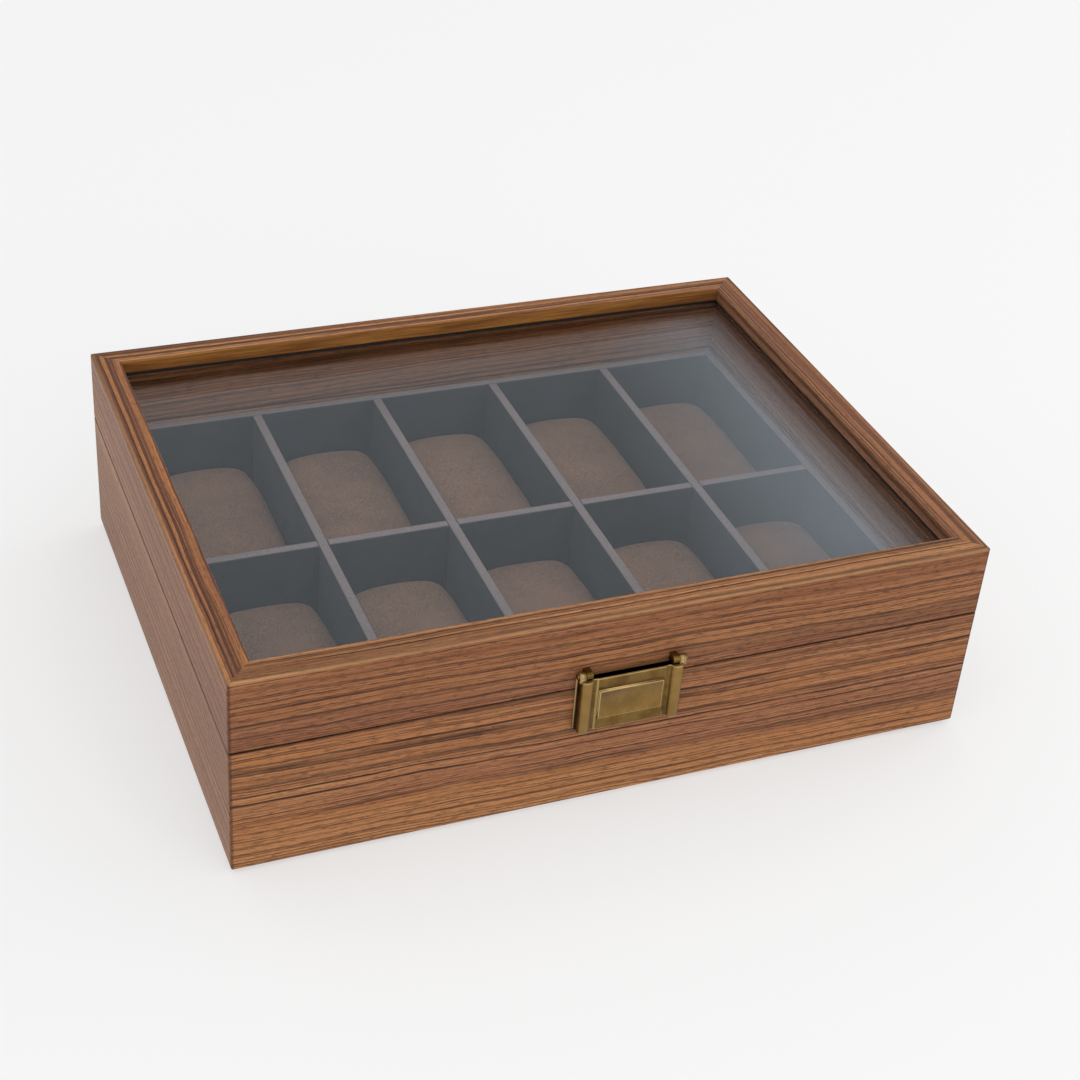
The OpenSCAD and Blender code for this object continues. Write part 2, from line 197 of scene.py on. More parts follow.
veneer = {
    # how often a pattern repeats in a metre, along the grain and across it
    "slow": (2.0, 15.0), "wave": (24.0, 65.0), "gaps": (0.8, 70.0), "broad": (1.6, 50.0),
    "shade": (1.4, 38.0), "fibre": (40.0, 1400.0), "patch": (22.0, 240.0),
    "pore": (240.0, 2200.0), "vein": (2.5, 420.0), "grit": 2300.0,
    # a family of lines: spacing as a share of the look's ring, wander, offset, seed, start
    "bold": (2.6, 2.2, 0.0, 90.0, 0.62), "main": (1.0, 3.4, 0.0, 0.0, 0.55),
    "thin": (0.36, 6.0, 0.0, 40.0, 0.45), "pale": (0.8, 4.0, 0.4, 60.0, 0.2),
    # how much each pattern colours the wood
    "goldenShare": 0.5, "bandShare": 0.6, "thinShare": 0.75, "veinLight": 0.55,
    "veinDark": 0.5, "fibreLight": 0.28, "fibreDark": 0.32, "poreShare": 0.5, "gritShare": 0.42,
    "specular": 0.18, "coatRough": 0.2, "relief": 0.25 * mm, "reliefShare": 0.4,
}
wearAndPaintedLight = {  # where the wood is worn or polished, has dark joints, or carries painted highlight, shadow and shade, as distances from an edge
    "arris": (-1.6 * mm, -0.3 * mm), "rim": (-1.5 * mm, -0.5 * mm), "arrisTint": "d3a472",
    "lip": (0.1 * mm, 0.3 * mm), "lipFoot": (-0.5 * mm, 0.0), "lipShare": 0.8,
    "shadow": (-0.5 * mm, 0.5 * mm), "shadowTint": "140c07", "shadowShare": 0.9,
    "under": (-10 * mm, -7 * mm), "lidFoot": (0.0, 1 * mm),
    "sealBand": (0.3 * mm, 0.8 * mm), "sealBandTint": "0a0604", "sealBandShare": 0.9,
    "seamMiddle": 0.2 * mm, "seam": (0.25 * mm, 0.75 * mm), "seamTint": "24120a",
    "seamShare": 0.75, "corner": (-1.0 * mm, -0.4 * mm), "cornerTint": "3a2014",
    "cornerShare": 0.55,
}
halfway = (0.35, 0.65)  # the usual soft change between two parts of a noise
spread = (0.3, 0.7)  # the same, over nearly all of the noise


def ringLines(s, level, spacing, shift, seed, start):  # a line darkens slowly, ends sharply
    turns = level * (1 / spacing) + shift
    share = turns.calc("FRACT", turns)
    weight = s.chance(turns.calc("FLOOR", turns) + seed)
    return share.step(start, 0.86) ** 1.5 * (1 - share.step(0.93, 1.0)), weight


def woodFinish(name, look):
    s = Shader(name)
    place = s.place()
    x, y, z = s.split(place)
    along, side = (x, y) if look["grain"] == "X" else (y, x)
    outer = caseHigh.y if look["grain"] == "X" else caseHigh.x
    flat = z + side * look["lean"]  # lets the rings run on over the rounded edge
    seed = look["seed"]

    def pattern(kind, across, shift, detail=2.0, rough=0.5):
        often, dense = veneer[kind]
        spot = s.join(along * often, across * dense, seed + shift)
        return s.noise(spot, 1.0, detail, rough)

    slow = pattern("slow", flat, 0.0) - 0.5
    wave = pattern("wave", flat, 3.0) - 0.5
    level = flat + along * look["slope"] + slow * look["sway"] + wave * look["ripple"]
    gaps = pattern("gaps", level, 5.0, 1.0) - 0.5

    def lines(kind):
        spacing, wander, offset, shift, start = veneer[kind]
        spread = gaps * wander + offset
        return ringLines(s, level, look["ring"] * spacing, spread, seed + shift, start)

    bold, boldWeight = lines("bold")
    main, mainWeight = lines("main")
    thin, thinWeight = lines("thin")
    pale, paleWeight = lines("pale")
    broad = pattern("broad", level, 7.0)
    shade = pattern("shade", level, 11.0, 1.0)
    fibre = pattern("fibre", level, 0.0, 3.0, 0.65)
    patch = pattern("patch", level, 2.0)
    pore = pattern("pore", level, 0.0, 1.0).step(0.56, 0.66)
    vein = pattern("vein", level, 21.0)
    grit = s.noise(place, veneer["grit"], 2.0, 0.7)
    top = s.facing().step(0.6, 0.95)
    contrast = top * look["topContrast"] + look["contrast"]
    line, light = tint(look["line"]), tint(look["light"])
    streak = s.mix(top, light, tint(look["streak"]))

    # the stripes of the veneer
    colour = s.ramp(broad, [(at, tint(code)) for at, code in look["stops"]])
    golden = shade.step(0.5, 0.68) * veneer["goldenShare"]
    colour = s.mix(golden, colour, tint(look["golden"]))
    band = (1 - shade).step(0.54, 0.68) * veneer["bandShare"]
    colour = s.mix(band, colour, tint(look["band"]))
    bright = pale * (paleWeight * 0.8 + top * 0.3) * patch.step(*halfway) * (top * 0.4 + 0.55)
    colour = s.mix(bright, colour, streak)
    depth = main * (mainWeight * 0.7 + 0.3) * (patch.step(0.25, 0.55) * 0.7 + 0.3)
    heavy = bold * boldWeight ** 1.5 * (patch.step(*halfway) * 0.5 + 0.4)
    colour = s.mix(thin * thinWeight * contrast * veneer["thinShare"], colour, line)
    colour = s.mix(depth * contrast, colour, line)
    colour = s.mix(heavy * contrast, colour, line)
    colour = s.mix(vein.step(0.5, 0.62) * top * veneer["veinLight"], colour, streak)
    colour = s.mix((1 - vein).step(0.5, 0.62) * top * veneer["veinDark"], colour, line)
    colour = s.mix(fibre.step(0.5, 0.75) * veneer["fibreLight"], colour, light)
    colour = s.mix((1 - fibre).step(0.5, 0.75) * veneer["fibreDark"], colour, line)
    colour = s.mix(pore * veneer["poreShare"], colour, line)
    speckled = s.mix(grit.step(*spread), grey(0.35), grey(0.65))
    colour = s.mix(veneer["gritShare"], colour, speckled, "OVERLAY")

    # the tops darkened as painted shade, the lid's sides toned apart from the base, then wear,
    # dark joints, a painted highlight and painted shadows
    lidSide = z.past(seamHeight, wearAndPaintedLight["lidFoot"]) * (1 - top)
    # the look's top tint darkens upward faces: painted shade, so tops read no brighter than sides
    colour = s.mix(top, colour, tint(look["top"]), "MULTIPLY")
    colour = s.mix(lidSide, colour, tint(look["lid"]), "MULTIPLY")
    # paler band along the top outer edge: worn veneer and a painted highlight of the rounded edge
    arris = abs(side).past(outer, wearAndPaintedLight["arris"]) * z.past(caseHigh.z, wearAndPaintedLight["rim"])
    colour = s.mix(arris * look["arris"], colour, tint(wearAndPaintedLight["arrisTint"]))
    lipX = abs(x).past(caseHigh.x - railWidth, wearAndPaintedLight["lip"])
    lipY = abs(y).past(caseHigh.y - railWidth, wearAndPaintedLight["lip"])
    opening = (1 - lipX) * (1 - lipY)
    lip = opening * z.past(sealLow.z, wearAndPaintedLight["lipFoot"])
    polish = s.mix(patch.step(*halfway), tint(look["lip"][0]), tint(look["lip"][1]))
    polish = s.mix(fibre.step(*halfway) * 0.5, polish, line)
    colour = s.mix(lip * wearAndPaintedLight["lipShare"], colour, polish)
    shadow = 1 - z.past(caseHigh.z - look["gold"], wearAndPaintedLight["shadow"])
    dark = tint(wearAndPaintedLight["shadowTint"])
    colour = s.mix(lip * shadow * wearAndPaintedLight["shadowShare"], colour, dark)
    # painted shade on the inner wall just under the glass, strong on the right board only
    under = z.past(sealLow.z, wearAndPaintedLight["under"]) * (1 - z.past(sealLow.z, wearAndPaintedLight["lipFoot"]))
    colour = s.mix(opening * under * look["shadeUnderGlass"], colour, dark)
    # near-black band on the lip beside the glass seal, reaching just above it
    sealBand = lip * (1 - z.past(sealHigh.z, wearAndPaintedLight["sealBand"]))
    colour = s.mix(sealBand * wearAndPaintedLight["sealBandShare"], colour, tint(wearAndPaintedLight["sealBandTint"]))
    seam = 1 - abs(z - seamHeight - wearAndPaintedLight["seamMiddle"]).step(*wearAndPaintedLight["seam"])
    colour = s.mix(seam * wearAndPaintedLight["seamShare"], colour, tint(wearAndPaintedLight["seamTint"]))
    corner = abs(x).past(caseHigh.x, wearAndPaintedLight["corner"]) * abs(y).past(caseHigh.y, wearAndPaintedLight["corner"])
    colour = s.mix(corner * wearAndPaintedLight["cornerShare"], colour, tint(wearAndPaintedLight["cornerTint"]))
    relief = fibre * 0.4 - pore * 0.7 - depth * 0.5
    return s.surface({
        "Base Color": colour,
        "Roughness": 0.46 + fibre * 0.16 + depth * 0.1 + lip * 0.35,
        "Specular IOR Level": veneer["specular"],
        "Coat Weight": (1 - lip) * look["coat"], "Coat Roughness": veneer["coatRough"],
        "Normal": s.bump(relief, veneer["relief"], veneer["reliefShare"]),
    })


frontLook = {
    "grain": "X", "seed": 1.7, "slope": 0.006, "lean": 1.5, "sway": 0.012, "ripple": 0.0026,
    "ring": 3.4 * mm, "contrast": 1.15, "topContrast": 0.0, "coat": 0.05, "arris": 0.3,
    "stops": [(0.3, "955f37"), (0.45, "a2693f"), (0.55, "aa7043"), (0.7, "b57b4a")],
    "golden": "a8744a", "band": "8c5a41", "line": "3a1d11", "light": "c79562",
    # top is a painted shade for the upward faces; lid tones the lid's sides
    "streak": "e3a96c", "top": "e8e4e8", "lid": "e3dee8",
    "lip": ("7a4c1a", "ae7636"), "gold": 8 * mm, "shadeUnderGlass": 0.0,
}
backLook = {**frontLook, "seed": 8.3, "slope": -0.004, "top": "dbd0ce"}
leftLook = {
    **frontLook, "grain": "Y", "seed": 4.1, "slope": 0.004, "contrast": 0.7,
    "topContrast": 0.45, "coat": 0.06, "arris": 0.12,
    "stops": [(0.3, "8b5e46"), (0.45, "976a4e"), (0.55, "a07356"), (0.7, "aa7e5f")],
    "golden": "9a6c4b", "band": "83593f", "line": "452616", "light": "b38a69",
    "streak": "e5aa68", "top": "cdb8b0", "lid": "fdfafa",
}
rightLook = {
    **leftLook, "seed": 12.9, "slope": -0.005,
    "lip": ("9a5f0e", "dc9a30"), "gold": 3.0 * mm, "shadeUnderGlass": 0.9,
}
boardLooks = {"front": frontLook, "back": backLook, "left": leftLook, "right": rightLook}
for part, look in boardLooks.items():
    paint(["base_" + part, "lid_" + part], woodFinish("walnut" + part.title(), look))
print("wood done")


# tray

def suedeFinish(name, look):
    s = Shader(name)
    place = s.place()
    nap = s.noise(place, look["napScale"], 3.0, 0.6)
    speck = s.noise(place, look["speckScale"], 2.0, 0.7)
    brushed = s.noise(place, look["napScale"] * 0.3).step(0.45, 0.7)
    colour = s.mix(nap.step(*spread), tint(look["dark"]), tint(look["light"]))
    colour = s.mix(brushed * 0.25, colour, tint(look["dark"]))
    specks = speck.step(*look["speckStep"]) * look["speckShare"]
    colour = s.mix(specks, colour, tint(look["speck"]))
    # upward faces get their own paler colours: painted light from above
    if "top" in look:
        top = s.mix(speck.step(*halfway), tint(look["top"][0]), tint(look["top"][1]))
        colour = s.mix(s.facing().step(0.5, 0.9), colour, top)
    # steep faces darken towards the side colour: painted shade on the cushion's flanks
    if "side" in look:
        paintedSideShade = (1 - s.facing().step(0.15, 0.92)) * 0.7
        colour = s.mix(paintedSideShade, colour, tint(look["side"]))
    return s.surface({
        "Base Color": colour, "Roughness": 0.95, "Specular IOR Level": 0.2,
        "Sheen Weight": look["sheen"], "Sheen Roughness": 0.45,
        "Normal": s.bump(speck + nap * 0.4, 0.15 * mm, look["bump"]),
    })


# the dark slate of the walls is painted shade with a painted bluish haze of the glass; the paler
# mauve on upward faces is painted light on the same suede
traySuede = suedeFinish("traySuede", {
    "napScale": 60.0, "speckScale": 2400.0, "dark": "282b31", "light": "31353c",
    "speck": "484b53", "speckShare": 0.3, "top": ("706464", "8f8382"), "sheen": 0.1, "bump": 0.02,
    "speckStep": (0.42, 0.62),
})
trayEdge = {
    "round": 0.55 * mm, "segments": 3, "sharp": math.radians(30), "flat": math.radians(1),
    "weld": 0.001 * mm, "rimDepth": 0.1 * mm,
}


def addWrappedBoard(name):  # the board of the frame with the soft edges of its suede
    bm = bmesh.new()
    bm.from_mesh(nodes[name].data)
    bmesh.ops.remove_doubles(bm, verts=bm.verts, dist=trayEdge["weld"])
    bmesh.ops.dissolve_limit(bm, angle_limit=trayEdge["flat"], verts=bm.verts, edges=bm.edges)
    high = max(v.co.z for v in bm.verts) - trayEdge["rimDepth"]
    rims = [e for e in bm.edges if e.calc_face_angle(0) > trayEdge["sharp"]
            and all(v.co.z > high for v in e.verts)]
    roundEdges(bm, rims, trayEdge["round"], trayEdge["segments"])
    addPiece("suede_" + name, bm, traySuede, "base", [name], False)


trayNames = [n for n in nodes if n.startswith(("tray_", "divider_"))]
paint(trayNames, traySuede)
for name in trayNames:
    if name != "tray_floor":
        addWrappedBoard(name)
print("tray done")


# cushions

cushionSuede = suedeFinish("cushionSuede", {
    "napScale": 45.0, "speckScale": 1700.0, "side": "302d33", "dark": "6b5043", "light": "7e5e4d",
    "speck": "b58e70", "speckShare": 0.34, "sheen": 0.12, "bump": 0.12, "speckStep": (0.44, 0.58),
})
pillow = {
    "start": Vector((0.92, 0.94, 0.85)),  # share of the space filled before the bag swells
    "corner": 11 * mm, "cornerSegments": 6, "edge": 7 * mm, "edgeSegments": 4,
    "sharp": math.radians(60), "voxel": 4 * mm,
    "pressure": 8.0, "quality": 8, "frames": 20,
    "cap": 9 * mm,  # the furthest that the pressure may move a point
    "smooth": 6, "full": (0.3, 0.2, 0.3), "taper": (0.14, 0.03),
    "rest": 2.0 * mm,  # how much of the underside is pressed flat
    "margin": 0.15 * mm, "dentScale": 55, "dentShift": 3.7, "dentDepth": 0.5 * mm,
}


def pillowShell(low, high):
    size = Vector(a * b for a, b in zip(high - low, pillow["start"]))
    bm = bmesh.new()
    bmesh.ops.create_cube(bm, size=1)
    bmesh.ops.scale(bm, vec=size, verts=bm.verts)
    upright = [e for e in bm.edges if abs(e.verts[0].co.z - e.verts[1].co.z) > size.z / 2]
    roundEdges(bm, upright, pillow["corner"], pillow["cornerSegments"])
    rims = [e for e in bm.edges if e.calc_face_angle(0) > pillow["sharp"]]
    roundEdges(bm, rims, pillow["edge"], pillow["edgeSegments"])
    bmesh.ops.translate(bm, vec=(low + high) / 2, verts=bm.verts)
    return bm


def applyModifiers(piece):
    held = piece.evaluated_get(bpy.context.evaluated_depsgraph_get())
    mesh = bpy.data.meshes.new_from_object(held)
    piece.modifiers.clear()
    piece.data = mesh


def inflatePillow(low, high):  # a bag of cloth, blown up by the pressure inside it
    mesh = bpy.data.meshes.new("pillowShape")
    bm = pillowShell(low, high)
    bm.to_mesh(mesh)
    bm.free()
    shape = bpy.data.objects.new("pillowShape", mesh)
    bpy.context.scene.collection.objects.link(shape)
    remesh = shape.modifiers.new("voxels", "REMESH")
    remesh.mode = "VOXEL"
    remesh.voxel_size = pillow["voxel"]
    applyModifiers(shape)
    started = [v.co.copy() for v in shape.data.vertices]
    cloth = shape.modifiers.new("cloth", "CLOTH")
    cloth.settings.effector_weights.gravity = 0
    cloth.settings.use_pressure = True
    cloth.settings.uniform_pressure_force = pillow["pressure"]
    cloth.settings.quality = pillow["quality"]
    for number in range(1, pillow["frames"] + 1):
        bpy.context.scene.frame_set(number)
    applyModifiers(shape)
    bpy.context.scene.frame_set(1)
    for vertex, start in zip(shape.data.vertices, started):
        move = vertex.co - start
        if move.length > pillow["cap"]:
            vertex.co = start + move.normalized() * pillow["cap"]
    bm = bmesh.new()
    bm.from_mesh(shape.data)
    bpy.data.objects.remove(shape)
    return bm


def fitPillow(bm, low, high):  # fills the space, and lies flat on the tray's floor
    margin = Vector((pillow["margin"],) * 3)
    low, high = low + margin, high - margin
    under = low - Vector((0, 0, pillow["rest"]))
    for _ in range(pillow["smooth"]):
        bmesh.ops.smooth_vert(bm, verts=bm.verts, factor=0.5,
                              use_axis_x=True, use_axis_y=True, use_axis_z=True)
    least = Vector(min(v.co[i] for v in bm.verts) for i in range(3))
    most = Vector(max(v.co[i] for v in bm.verts) for i in range(3))
    half, middle = (high - under) / 2, (high + under) / 2
    taperX, taperY = pillow["taper"]
    for v in bm.verts:
        for i in range(3):
            v.co[i] = under[i] + (v.co[i] - least[i]) / (most[i] - least[i]) * (high[i] - under[i])
        share = Vector((v.co[i] - middle[i]) / half[i] for i in range(3))
        share = Vector(u * (1 + full * (1 - u * u)) for u, full in zip(share, pillow["full"]))
        slim = Vector((1 - taperX * share.y ** 2, 1 - taperY * share.x ** 2, 1))
        v.co = middle + Vector(h * u * k for h, u, k in zip(half, share, slim))
        v.co.z = max(v.co.z, low.z)


cushionNames = [n for n in nodes if n.startswith("cushion_")]
paint(cushionNames, cushionSuede)
firstLow, firstHigh = (Vector(v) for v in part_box(cushionNames[0]))
master = inflatePillow(firstLow, firstHigh)
fitPillow(master, firstLow, firstHigh)
for number, name in enumerate(cushionNames):
    low, high = (Vector(v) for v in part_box(name))
    bm = master.copy()
    bmesh.ops.translate(bm, vec=-(firstLow + firstHigh) / 2, verts=bm.verts)
    if number % 2:  # turned end for end, so that no two neighbours are alike
        halfTurn = Matrix.Rotation(math.pi, 3, "Z")
        bmesh.ops.rotate(bm, cent=(0, 0, 0), matrix=halfTurn, verts=bm.verts)
    for v in bm.verts:
        shift = Vector((number * pillow["dentShift"], 0, 0))
        dent = noise.noise(v.co * pillow["dentScale"] + shift) - 0.5
        if v.co.z > 0:
            v.co -= v.co.normalized() * (0.5 - dent) * pillow["dentDepth"]
    bmesh.ops.translate(bm, vec=(low + high) / 2, verts=bm.verts)
    bmesh.ops.recalc_face_normals(bm, faces=bm.faces)
    piece = addPiece("suede_" + name, bm, cushionSuede, name, [name])
    rounding = piece.modifiers.new("rounding", "SUBSURF")
    rounding.levels = rounding.render_levels = 1
master.free()
print("cushions done")


# bottom, seal and metal

def gritFinish(name, dark, light, rough, grain=900.0):
    s = Shader(name)
    grit = s.noise(s.place(), grain, 3.0, 0.6)
    colour = s.mix(grit.step(*spread), tint(dark), tint(light))
    return s.surface({"Base Color": colour, "Roughness": rough + grit * 0.15,
                      "Normal": s.bump(grit, 0.1 * mm, 0.4)})


paint(["bottom_felt"], gritFinish("blackFelt", "121112", "2b292b", 0.85, 2200.0))
paint(["bottom_panel"], gritFinish("plywood", "96734a", "b48f62", 0.6))
paint(["glass_seal"], gritFinish("blackSeal", "040404", "0b0a0a", 0.4))


def brassFinish(name, look):
    s = Shader(name)
    place = s.place()
    x, y, z = s.split(place)
    cloud = s.noise(place, look["cloudScale"], 3.0, 0.6)
    grain = s.noise(place, look["grainScale"], 2.0, 0.6)
    along, across = look["brush"]
    brush = s.noise(s.join(x * along, y * across, z * across))
    colour = s.mix(cloud.step(*spread), tint(look["dark"]), tint(look["light"]))
    colour = s.mix(grain.step(0.5, 0.7) * look["patinaShare"], colour, tint(look["patina"]))
    rough = look["rough"] + cloud * 0.14 + grain * 0.08
    metallic = 1.0
    if "proud" in look:  # darker where the pressing is deep, as patina and painted shade; bright where it stands out and along fine edge lines, as wear and painted highlight
        proud = y * -1 - caseHigh.y
        deep, level, crest = look["proud"]
        patinaAndShade = (1 - proud.step(deep, level)) * 0.8
        colour = s.mix(patinaAndShade, colour, tint(look["deep"]))
        colour = s.mix(proud.step(level, crest) * 0.5, colour, tint(look["wearAndHighlight"]))
        up = abs(z - (look["low"] + look["high"]) / 2)
        outsideX, outsideZ = abs(x) - look["panel"][0], up - look["panel"][1]
        near, inside = look["near"], look["inside"]
        # fine lines along the panel's frame, its ends, the ridge and the rim: worn edges and
        # painted highlights
        frameX = (1 - abs(outsideX).step(*near)) * (1 - outsideZ.step(*inside))
        frameZ = (1 - abs(outsideZ).step(*near)) * (1 - outsideX.step(*inside))
        ends = up.past((look["high"] - look["low"]) / 2, look["ends"])
        ridge = 1 - abs(abs(x) - look["step"]).step(*look["ridge"])
        rim = abs(x).past(look["side"], look["rim"])
        bright = (frameX + frameZ + ends * 0.6 + ridge * 0.7 + rim).step(0.0, 1.0)
        colour = s.mix(bright * (cloud * 0.6 + 0.4) * 0.8, colour, tint(look["edge"]))
    if "arms" in look:  # painted shade between the two bare arms, darker and less metallic where the plate lies in the flap's shadow
        bare = abs(x).past(look["arms"], look["bare"])
        colour = s.mix((1 - bare) * 0.85, colour, tint(look["deep"]))
        metallic = bare * 0.85 + 0.15
    return s.surface({
        "Base Color": colour, "Roughness": rough, "Metallic": metallic,
        "Normal": s.bump(grain * 0.6 + brush * 0.4, 0.08 * mm, 0.35),
    })


brassLook = {
    "dark": "5f4722", "light": "7f6438", "patina": "3f2f15", "patinaShare": 0.35, "rough": 0.3,
    "cloudScale": 160.0, "grainScale": 2400.0, "brush": (300.0, 3000.0),
}
brass = brassFinish("agedBrass", brassLook)
flapBrass = brassFinish("agedBrassPressed", {
    **brassLook, "proud": (2.2 * mm, 3.4 * mm, 5.0 * mm),
    "deep": "21180b", "wearAndHighlight": "a98850", "edge": "d8bb82",
    "panel": (12.3 * mm, 6.0 * mm), "near": (0.1 * mm, 0.35 * mm), "inside": (0.1 * mm, 0.3 * mm),
    "low": 37.0 * mm, "high": 59.9 * mm, "ends": (-0.6 * mm, -0.2 * mm),
    "step": 13.3 * mm, "ridge": (0.15 * mm, 0.5 * mm), "side": 19.9 * mm, "rim": (0.0, 0.3 * mm),
})
# the plate's dark middle is painted shade
plateBrass = brassFinish("shadedPlateBrass", {
    **brassLook, "arms": 15.0 * mm, "bare": (0.0, 0.4 * mm), "deep": "6d5030",
})
paint([n for n in nodes if n.startswith(("hinge_", "latch_", "catch_"))], brass)
paint(["latch_hinge_plate"], plateBrass)


# latch flap

flap = {
    # half of the pressed sheet: distances from the middle, then from the wood outwards
    "web": 13.0 * mm, "valley": 13.6 * mm, "bead": 15.0 * mm, "beadTop": 15.7 * mm,
    "wall": 19.7 * mm, "webOut": 3.8 * mm, "valleyOut": 3.3 * mm, "beadOut": 5.2 * mm,
    "rimOut": 0.2 * mm, "lipOut": 0.5 * mm, "footOut": 1.1 * mm, "sheet": 0.9 * mm,
    "round": 0.22 * mm, "wide": 1 * mm, "wideSegments": 6,
    # the raised panel in its groove, with a fine frame line
    "panel": (24.6 * mm, 12 * mm), "groove": 0.45 * mm, "grooveDeep": 0.5 * mm,
    "panelOut": 0.65 * mm, "panelRound": 0.28 * mm, "panelSegments": 3,
    "border": 0.45 * mm, "frameLine": 0.15 * mm, "frameDeep": 0.12 * mm,
    # the knuckles on the pin
    "knuckle": 1.5 * mm, "bore": 0.75 * mm, "knuckleLong": 2.4 * mm, "knuckleSides": 32,
    "pinOut": 1.1 * mm, "topGap": 0.3 * mm,
    "strapThick": 1.2 * mm, "strapIn": 0.6 * mm, "strapDrop": 0.2 * mm,
    "same": 0.001 * mm, "samePlane": 0.01 * mm, "forward": -0.99,
}
flapLow, flapHigh = (Vector(v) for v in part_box("latch_flap"))
wood = -caseHigh.y  # the front face of the case
pinZ = flapHigh.z - flap["knuckle"]
pinY = wood - flap["knuckle"] - flap["pinOut"]
flapTop = pinZ - flap["knuckle"] - flap["topGap"]


def flapSection():  # half of the sheet seen from above: across, outwards, rounding of the corner
    inner = flap["wall"] - flap["sheet"]
    return [
        (flap["web"], flap["webOut"], 0.15 * mm),
        (flap["valley"], flap["valleyOut"], 0.25 * mm),
        (flap["bead"], flap["valleyOut"], 0.3 * mm),
        (flap["beadTop"], flap["beadOut"], 1.4 * mm),
        (flap["wall"], flap["beadOut"], 1.7 * mm),
        (flap["wall"], flap["footOut"], 0.4 * mm),
        (flapHigh.x, flap["lipOut"], 0.0),
        (flapHigh.x, flap["rimOut"], 0.0),
        (inner, flap["rimOut"], 0.0),
        (inner, flap["webOut"] - flap["sheet"], 0.0),
    ]


def inOrder(items):  # each one once, in the same order on every run
    return list(dict.fromkeys(items))


def grownVerts(geometry):
    return [g for g in geometry if isinstance(g, bmesh.types.BMVert)]


def forwardFaces(bm):
    return [f for f in bm.faces if f.normal.y < flap["forward"]]


def nearestForward(bm, spot):
    return min(forwardFaces(bm), key=lambda f: (f.calc_center_median() - spot).length)


def extrudeFace(bm, face, move):
    grown = bmesh.ops.extrude_discrete_faces(bm, faces=[face])["faces"][0]
    bmesh.ops.translate(bm, vec=move, verts=grown.verts)
    return grown


def pressSheet(bm):
    half = flapSection()
    outline = half + [(-across, out, radius) for across, out, radius in reversed(half)]
    corners = [bm.verts.new((across, wood - out, flapLow.z)) for across, out, _ in outline]
    bm.faces.new(corners)
    for corner, (_, _, radius) in zip(corners, outline):
        if radius:
            segments = flap["wideSegments"] if radius > flap["wide"] else 2
            roundEdges(bm, [corner], radius, segments, "VERTICES")
    grown = bmesh.ops.extrude_face_region(bm, geom=bm.faces[:])["geom"]
    bmesh.ops.translate(bm, vec=(0, 0, flapTop - flapLow.z), verts=grownVerts(grown))
    bmesh.ops.recalc_face_normals(bm, faces=bm.faces)
    rims = [e for e in bm.edges if abs(e.verts[0].co.z - e.verts[1].co.z) < flap["same"]]
    roundEdges(bm, rims, flap["round"], 2)


def raisePanel(bm):
    middle = Vector((0, wood - flap["webOut"], (flapTop + flapLow.z) / 2))
    wide, tall = flap["panel"]
    reach = Vector((wide / 2 + flap["groove"], 0, tall / 2 + flap["groove"]))
    for axis in (0, 2):  # cuts the web round the panel
        for sign in (-1, 1):
            plane = Vector((0, 0, 0))
            plane[axis] = sign
            front = [f for f in forwardFaces(bm)
                     if abs(f.calc_center_median().y - middle.y) < flap["samePlane"]]
            edges = inOrder(e for f in front for e in f.edges)
            verts = inOrder(v for f in front for v in f.verts)
            bmesh.ops.bisect_plane(bm, geom=front + edges + verts,
                                   plane_co=middle + plane * reach[axis], plane_no=plane)
    bm.faces.ensure_lookup_table()
    sunk = extrudeFace(bm, nearestForward(bm, middle), (0, flap["grooveDeep"], 0))
    bmesh.ops.inset_region(bm, faces=[sunk], thickness=flap["groove"])
    raised = extrudeFace(bm, sunk, (0, -flap["grooveDeep"] - flap["panelOut"], 0))
    roundEdges(bm, list(raised.edges), flap["panelRound"], flap["panelSegments"])
    plate = nearestForward(bm, middle)
    bmesh.ops.inset_region(bm, faces=[plate], thickness=flap["border"])
    bmesh.ops.inset_region(bm, faces=[plate], thickness=flap["frameLine"],
                           depth=-flap["frameDeep"])


def addKnuckle(bm, sign):  # a bored barrel on the pin's line, and the strap down to the sheet
    turn = Matrix.Rotation(math.pi / 2, 4, "Y")
    long = flap["knuckleLong"]
    start = sign * (flapHigh.x - long)
    rings = []
    for radius in (flap["knuckle"], flap["bore"]):
        place = Matrix.Translation((start, pinY, pinZ)) @ turn
        rings += bmesh.ops.create_circle(bm, cap_ends=False, radius=radius, matrix=place,
                                         segments=flap["knuckleSides"])["verts"]
    loops = inOrder(e for v in rings for e in v.link_edges)
    ring = bmesh.ops.bridge_loops(bm, edges=loops)["faces"]
    grown = bmesh.ops.extrude_face_region(bm, geom=ring)["geom"]
    bmesh.ops.translate(bm, vec=(sign * long, 0, 0), verts=grownVerts(grown))
    strap = bmesh.ops.create_cube(bm, size=1)["verts"]
    bmesh.ops.scale(bm, vec=(long, flap["strapThick"], pinZ - flapTop), verts=strap)
    outer = pinY - flap["knuckle"] + flap["strapIn"]
    height = (pinZ + flapTop) / 2 - flap["strapDrop"]
    bmesh.ops.translate(bm, vec=(start + sign * long / 2, outer, height), verts=strap)


def addFlap():
    bm = bmesh.new()
    pressSheet(bm)
    raisePanel(bm)
    for sign in (-1, 1):
        addKnuckle(bm, sign)
    bmesh.ops.recalc_face_normals(bm, faces=bm.faces)
    addPiece("brass_flap", bm, flapBrass, "latch", ["latch_flap"])


addFlap()
print("latch done")


# glass

pane = {
    "clear": (0.94, 0.955, 0.96, 1), "mirror": (0.9, 0.95, 1, 1), "mirrorRough": 0.12,
    "straight": 0.04, "grazing": 0.25,  # share of the mirror seen straight on, and at a slant
    "film": "b7c3cf", "filmRough": 0.4, "cloud": 9.0, "thinnest": 0.004, "dustAndReflection": 0.12,
    "edgeX": (-26 * mm, -6 * mm), "edgeY": (-16 * mm, -4 * mm),
}


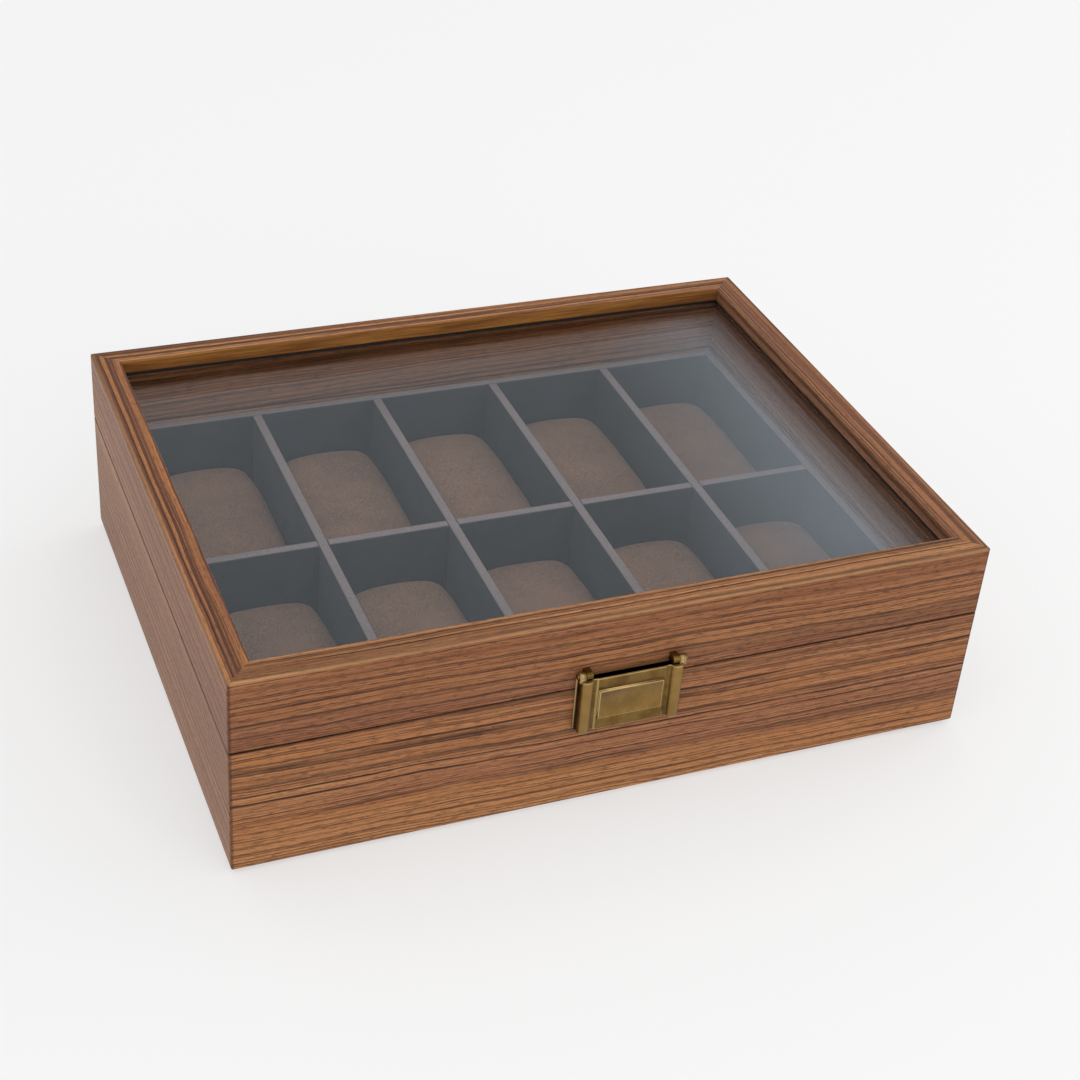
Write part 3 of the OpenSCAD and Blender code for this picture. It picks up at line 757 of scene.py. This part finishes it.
def glassFinish(name):
    s = Shader(name)
    place = s.place()
    x, y, _ = s.split(place)
    clear = s.node("ShaderNodeBsdfTransparent", None, {"Color": pane["clear"]})
    mirror = s.node("ShaderNodeBsdfGlossy", None,
                    {"Color": pane["mirror"], "Roughness": pane["mirrorRough"]})
    film = s.node("ShaderNodeBsdfPrincipled", None, {
        "Base Color": tint(pane["film"]), "Roughness": pane["filmRough"],
        "Specular IOR Level": 1.0,
    })
    slant = s.node("ShaderNodeLayerWeight", None, {"Blend": 0.5}, "Facing")
    share = slant ** 5 * pane["grazing"] + pane["straight"]
    glossy = s.node("ShaderNodeMixShader", None, {0: share, 1: clear, 2: mirror})
    cloud = s.noise(place, pane["cloud"], 3.0, 0.6)
    # the film fades near the frame, leaving a clear strip along it: dust and a painted reflection
    nearX = x.past(caseHigh.x - railWidth, pane["edgeX"])
    nearY = y.past(caseHigh.y - railWidth, pane["edgeY"])
    inside = (1 - nearX) * (1 - nearY) * 0.85 + 0.15
    side = (x * 3.4 - y * 0.6 + 0.5).step(0.62, 1.0)  # more film towards the right front: dust and a painted reflection
    dustAndReflection = (side * pane["dustAndReflection"] + pane["thinnest"]) * (cloud * 0.5 + 0.75) * inside
    return s.finish(s.node("ShaderNodeMixShader", None, {0: dustAndReflection, 1: glossy, 2: film}))


paint(["glass_pane"], glassFinish("windowGlass"))
print("glass done")


# floor, light and camera

studio = {
    "floorSize": 6, "floorGrey": 0.4, "floorRough": 0.9,
    "floorGlow": 0.5,  # keeps the shadows pale
    "sky": 0.8,
}
lamps = {  # each one aims at a height above the middle of the object
    "topLight": {"spot": (-0.2, -0.3, 1.4), "aim": 0, "size": (1.6, 1.4), "power": 3.5},
    "frontLight": {"spot": (0.3, -1.6, 0.8), "aim": 0.03, "size": (1.2, 0.7), "power": 6},
    "rightLight": {"spot": (1.58, 0.42, 1.15), "aim": 0.05, "size": (0.9, 0.7), "power": 4},
}
cameraView = {
    "azimuth": -24.02, "elevation": 34.23, "roll": 4.78,
    "distance": 0.823, "aim": (0.0118, 0.0, 0.0373), "lens": 67.8, "sensor": 36,
}


def addFloor():
    bm = bmesh.new()
    bmesh.ops.create_grid(bm, x_segments=1, y_segments=1, size=studio["floorSize"])
    mesh = bpy.data.meshes.new("floor")
    bm.to_mesh(mesh)
    bm.free()
    floor = bpy.data.objects.new("floor", mesh)
    bpy.context.scene.collection.objects.link(floor)
    mesh.materials.append(Shader("paleFloor").surface({
        "Base Color": grey(studio["floorGrey"]), "Roughness": studio["floorRough"],
        "Emission Color": grey(1), "Emission Strength": studio["floorGlow"],
    }))


def addLight(name, lamp):
    light = bpy.data.lights.new(name, "AREA")
    light.shape = "RECTANGLE"
    light.size, light.size_y = lamp["size"]
    light.energy = lamp["power"]
    holder = bpy.data.objects.new(name, light)
    holder.location = lamp["spot"]
    beam = Vector((0, 0, lamp["aim"])) - Vector(lamp["spot"])
    holder.rotation_euler = beam.to_track_quat("-Z", "Y").to_euler()
    bpy.context.scene.collection.objects.link(holder)


def addCamera(view):
    a, e, r = (math.radians(view[key]) for key in ("azimuth", "elevation", "roll"))
    back = Vector((math.sin(a) * math.cos(e), -math.cos(a) * math.cos(e), math.sin(e)))
    right = Vector((0, 0, 1)).cross(back).normalized()
    up = back.cross(right)
    tiltedRight = math.cos(r) * right + math.sin(r) * up
    tiltedUp = math.cos(r) * up - math.sin(r) * right
    data = bpy.data.cameras.new("camera")
    data.lens = view["lens"]
    data.sensor_width = view["sensor"]
    camera = bpy.data.objects.new("camera", data)
    turn = Matrix((tiltedRight, tiltedUp, back)).transposed().to_4x4()
    spot = Vector(view["aim"]) + back * view["distance"]
    camera.matrix_world = Matrix.Translation(spot) @ turn
    bpy.context.scene.collection.objects.link(camera)
    bpy.context.scene.camera = camera


def addSky():
    world = bpy.data.worlds.new("studio")
    bpy.context.scene.world = world
    world.use_nodes = True
    inputs = world.node_tree.nodes["Background"].inputs
    inputs["Color"].default_value = grey(1)
    inputs["Strength"].default_value = studio["sky"]


addFloor()
for name, lamp in lamps.items():
    addLight(name, lamp)
addCamera(cameraView)
addSky()
bpy.context.scene.view_settings.view_transform = "Standard"
print("floor, light and camera done")
